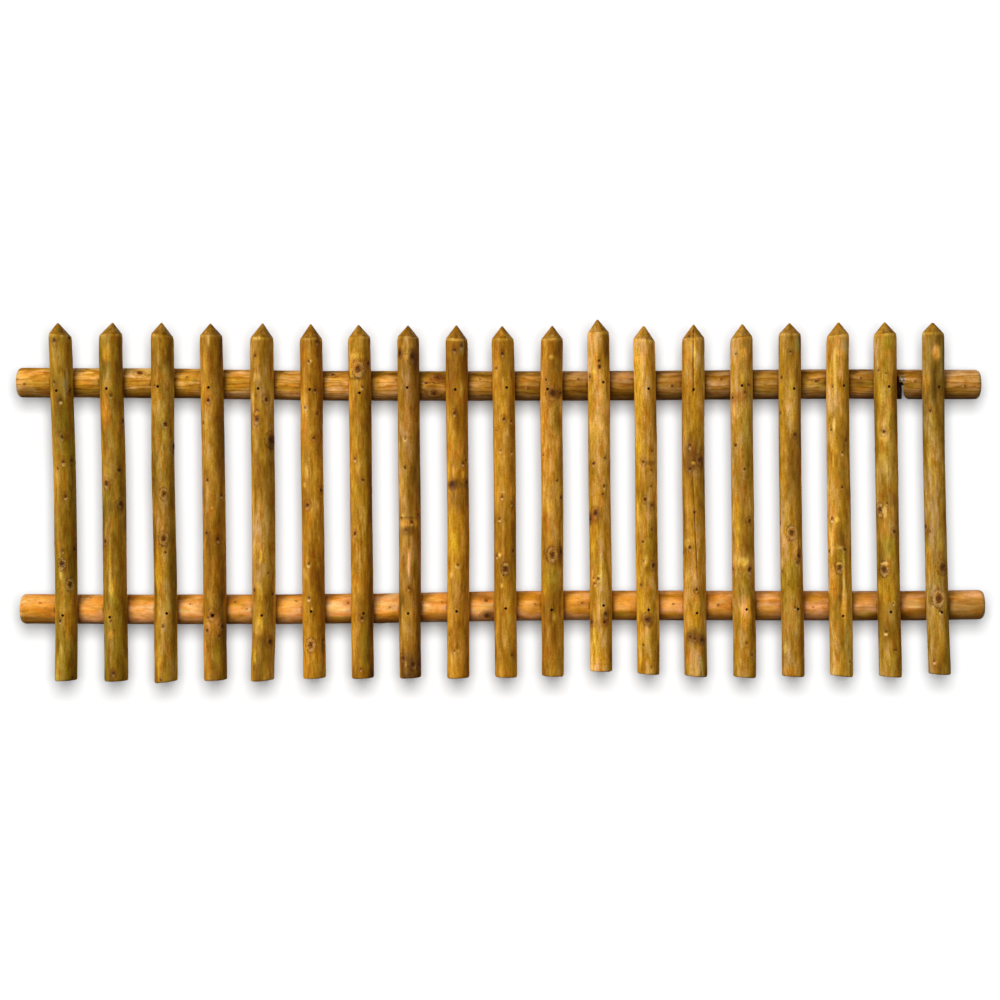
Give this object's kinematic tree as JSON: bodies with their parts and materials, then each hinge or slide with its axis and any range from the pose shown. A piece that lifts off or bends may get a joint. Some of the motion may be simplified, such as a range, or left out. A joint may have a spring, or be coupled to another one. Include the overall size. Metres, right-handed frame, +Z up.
{
  "type": "vertical slat fence panel",
  "caption": "Low picket fence panel of pointed half-round wooden slats screwed to two round wooden rails.",
  "frame": {"origin": "middle of the flat left end face of the bottom rail, where the panel meets its post", "axes": "+X along the rails to the right as seen from the slatted side, +Y from the slatted side to the rail side, +Z up"},
  "size_m": [2.4983, 0.1062, 0.9349],
  "materials": {
    "picket_wood": "pressure-treated softwood, peeled and milled, golden to olive brown, matt",
    "rail_wood": "pressure-treated softwood pole, tan to orange brown, matt",
    "screw_steel": "dulled wood-screw steel"
  },
  "bodies": {
    "root": {"picket_01": "picket_wood", "picket_02": "picket_wood", "picket_03": "picket_wood", "picket_04": "picket_wood", "picket_05": "picket_wood", "picket_06": "picket_wood", "picket_07": "picket_wood", "picket_08": "picket_wood", "picket_09": "picket_wood", "picket_10": "picket_wood", "picket_11": "picket_wood", "picket_12": "picket_wood", "picket_13": "picket_wood", "picket_14": "picket_wood", "picket_15": "picket_wood", "picket_16": "picket_wood", "picket_17": "picket_wood", "picket_18": "picket_wood", "picket_19": "picket_wood", "top_rail": "rail_wood", "bottom_rail": "rail_wood", "top_rail_screws": "screw_steel", "bottom_rail_screws": "screw_steel"}
  },
  "joints": []
}
